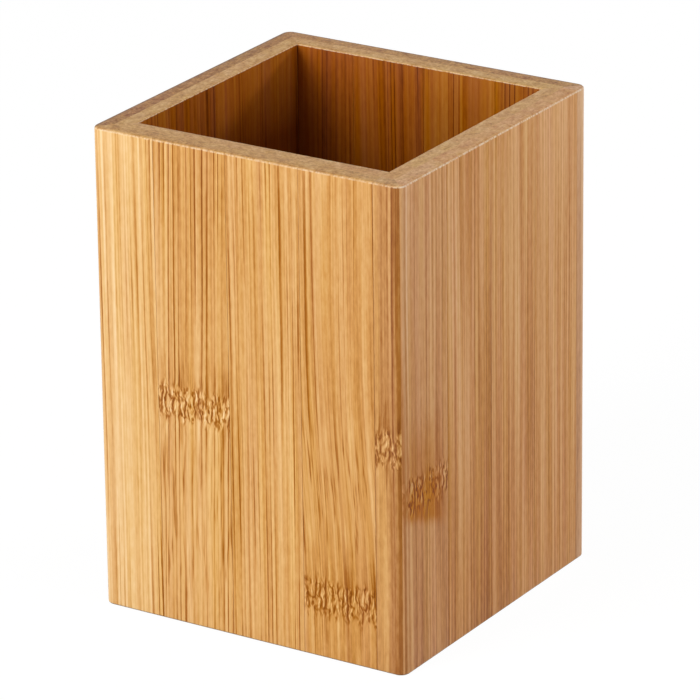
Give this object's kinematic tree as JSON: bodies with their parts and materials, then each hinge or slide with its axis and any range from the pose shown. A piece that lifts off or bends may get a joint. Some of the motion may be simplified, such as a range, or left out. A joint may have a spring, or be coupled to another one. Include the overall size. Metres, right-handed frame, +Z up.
{
  "type": "pencil cup",
  "caption": "Square open-topped bamboo cup with mitred laminated walls and a base board let into them, for standing pencils and pens on a desk.",
  "frame": {"origin": "middle of the underside, at desk level", "axes": "+Z up towards the open mouth, -Y towards the front wall, +X towards the right wall"},
  "size_m": [0.07, 0.07, 0.1],
  "materials": {
    "bamboo_outside": "caramel bamboo with upright grain, feathered knots and a satin clear lacquer",
    "bamboo_inside": "deep caramel bamboo with upright grain, sanded and thinly sealed",
    "bamboo_base": "caramel bamboo with grain from left to right, sanded and thinly sealed"
  },
  "bodies": {
    "root": {"back_inner_strip_1": "bamboo_inside", "back_inner_strip_2": "bamboo_inside", "back_inner_strip_3": "bamboo_inside", "back_inner_strip_4": "bamboo_inside", "back_outer_strip_1": "bamboo_outside", "back_outer_strip_2": "bamboo_outside", "back_outer_strip_3": "bamboo_outside", "back_outer_strip_4": "bamboo_outside", "back_outer_strip_5": "bamboo_outside", "base_lower_strip_1": "bamboo_base", "base_lower_strip_2": "bamboo_base", "base_lower_strip_3": "bamboo_base", "base_lower_strip_4": "bamboo_base", "base_lower_strip_5": "bamboo_base", "base_upper_strip_1": "bamboo_base", "base_upper_strip_2": "bamboo_base", "base_upper_strip_3": "bamboo_base", "base_upper_strip_4": "bamboo_base", "front_inner_strip_1": "bamboo_inside", "front_inner_strip_2": "bamboo_inside", "front_inner_strip_3": "bamboo_inside", "front_inner_strip_4": "bamboo_inside", "front_outer_strip_1": "bamboo_outside", "front_outer_strip_2": "bamboo_outside", "front_outer_strip_3": "bamboo_outside", "front_outer_strip_4": "bamboo_outside", "front_outer_strip_5": "bamboo_outside", "left_inner_strip_1": "bamboo_inside", "left_inner_strip_2": "bamboo_inside", "left_inner_strip_3": "bamboo_inside", "left_inner_strip_4": "bamboo_inside", "left_outer_strip_1": "bamboo_outside", "left_outer_strip_2": "bamboo_outside", "left_outer_strip_3": "bamboo_outside", "left_outer_strip_4": "bamboo_outside", "left_outer_strip_5": "bamboo_outside", "right_inner_strip_1": "bamboo_inside", "right_inner_strip_2": "bamboo_inside", "right_inner_strip_3": "bamboo_inside", "right_inner_strip_4": "bamboo_inside", "right_inner_strip_5": "bamboo_inside", "right_outer_strip_1": "bamboo_outside", "right_outer_strip_2": "bamboo_outside", "right_outer_strip_3": "bamboo_outside", "right_outer_strip_4": "bamboo_outside", "right_outer_strip_5": "bamboo_outside"}
  },
  "joints": []
}
